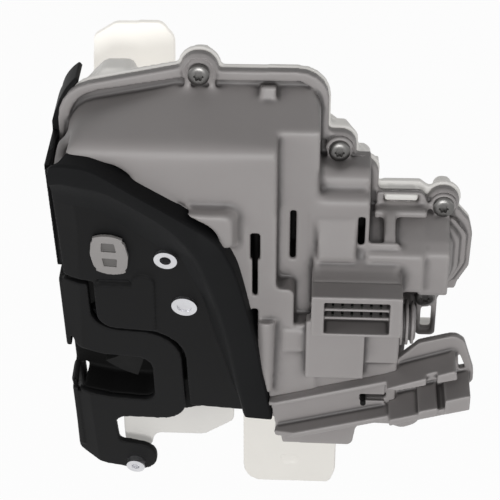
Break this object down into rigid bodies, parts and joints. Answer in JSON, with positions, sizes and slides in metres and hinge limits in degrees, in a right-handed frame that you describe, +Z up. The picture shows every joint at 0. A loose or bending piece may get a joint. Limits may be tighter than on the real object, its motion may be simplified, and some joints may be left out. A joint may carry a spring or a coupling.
{
  "type": "door latch actuator",
  "caption": "Side door latch with a tilted steel latch plate, a forked catch behind an open mouth, a grey housing with lock drive and plug socket, and a cable holder.",
  "frame": {"origin": "centre of the fixing bush, on the outer face of the latch plate", "axes": "+Z up as fitted, +Y into the door (the latch plate and the plug socket face -Y), +X to the right seen from the latch plate"},
  "size_m": [0.1378, 0.0578, 0.1796],
  "materials": {
    "housing_grey": "fine moulded texture",
    "housing_white": "fine moulded texture",
    "cream_plastic": "satin",
    "plate_black": "satin black coat on steel",
    "trim_rubber": "satin",
    "case_black": "satin",
    "zinc_steel": "bright zinc",
    "dark_steel": "hardened, oiled",
    "brass": "satin",
    "nylon_white": "satin",
    "rotor_grey": "satin",
    "buffer_rubber": "matt"
  },
  "bodies": {
    "housing": {"front_housing": "housing_grey", "rear_housing": "housing_white", "latch_plate": "plate_black", "striker_plate": "plate_black", "edge_trim": "trim_rubber", "latch_case": "case_black", "pin_plate": "zinc_steel", "catch_pin": "zinc_steel", "pawl_rivet": "zinc_steel", "fixing_bush": "zinc_steel", "catch_spring": "zinc_steel", "pawl_spring": "zinc_steel", "catch_buffer": "buffer_rubber", "plate_screw": "zinc_steel", "housing_screws": "zinc_steel", "connector_socket": "housing_grey", "connector_pins": "brass", "cable_holder": "housing_grey", "cable_boot": "housing_grey", "lever_pin": "zinc_steel", "outer_lever_pin": "zinc_steel", "lock_motor": "zinc_steel", "wheel_axle": "zinc_steel", "microswitches": "case_black", "upper_tab": "cream_plastic", "lower_tab": "cream_plastic"},
    "catch": {"catch": "dark_steel"},
    "pawl": {"pawl": "dark_steel"},
    "inner_release_lever": {"inner_release_lever": "zinc_steel"},
    "outer_release_lever": {"outer_release_lever": "zinc_steel"},
    "key_cam": {"key_cam": "nylon_white"},
    "emergency_rotor": {"emergency_rotor": "rotor_grey"},
    "worm": {"motor_worm": "brass"},
    "wheel": {"worm_wheel": "nylon_white"},
    "slide": {"lock_slide": "nylon_white"}
  },
  "joints": [
    {"name": "catch_turn", "type": "hinge", "parent": "housing", "child": "catch", "pos_m": [-0.00654, 0.01701, -0.04099], "axis": [-0.0852, -0.9744, -0.2079], "range_deg": [0, 46], "stiffness_Nm_per_rad": 0.2, "springref_deg": -17.19},
    {"name": "inner_lever_turn", "type": "hinge", "parent": "housing", "child": "inner_release_lever", "pos_m": [0.0663, 0.0059, -0.025], "axis": [0, -1, 0], "range_deg": [0, 12], "stiffness_Nm_per_rad": 0.1, "springref_deg": -17.19},
    {"name": "pawl_turn", "type": "hinge", "parent": "housing", "child": "pawl", "pos_m": [0.00572, 0.01148, -0.02006], "axis": [0.0852, 0.9744, 0.2079], "range_deg": [0, 12]},
    {"name": "outer_lever_turn", "type": "hinge", "parent": "housing", "child": "outer_release_lever", "pos_m": [0.03, 0.0434, -0.022], "axis": [0, 1, 0], "range_deg": [-15, 0], "stiffness_Nm_per_rad": 0.1, "springref_deg": 17.19},
    {"name": "key_cam_turn", "type": "hinge", "parent": "housing", "child": "key_cam", "pos_m": [0.044, 0.0434, 0.022], "axis": [0, 1, 0], "range_deg": [-40, 40]},
    {"name": "emergency_rotor_turn", "type": "hinge", "parent": "housing", "child": "emergency_rotor", "pos_m": [-0.01787, -0.00003, 0.00028], "axis": [-0.0852, -0.9744, -0.2079], "range_deg": [0, 60]},
    {"name": "worm_spin", "type": "hinge", "parent": "housing", "child": "worm", "pos_m": [0.0352, 0.025, 0.002], "axis": [0, 0, 1], "range_deg": [0, 2160]},
    {"name": "wheel_turn", "type": "hinge", "parent": "housing", "child": "wheel", "pos_m": [0.0166, 0.025, 0.002], "axis": [0, 1, 0], "range_deg": [0, 90]},
    {"name": "slide_move", "type": "slide", "parent": "housing", "child": "slide", "axis": [0, 0, 1], "range_m": [0, 0.0094]}
  ],
  "couplings": [
    {"joint": "pawl_turn", "follows": "inner_lever_turn", "ratio": 1},
    {"joint": "wheel_turn", "follows": "slide_move", "rad_per_m": 166.67},
    {"joint": "worm_spin", "follows": "slide_move", "rad_per_m": 4000}
  ]
}
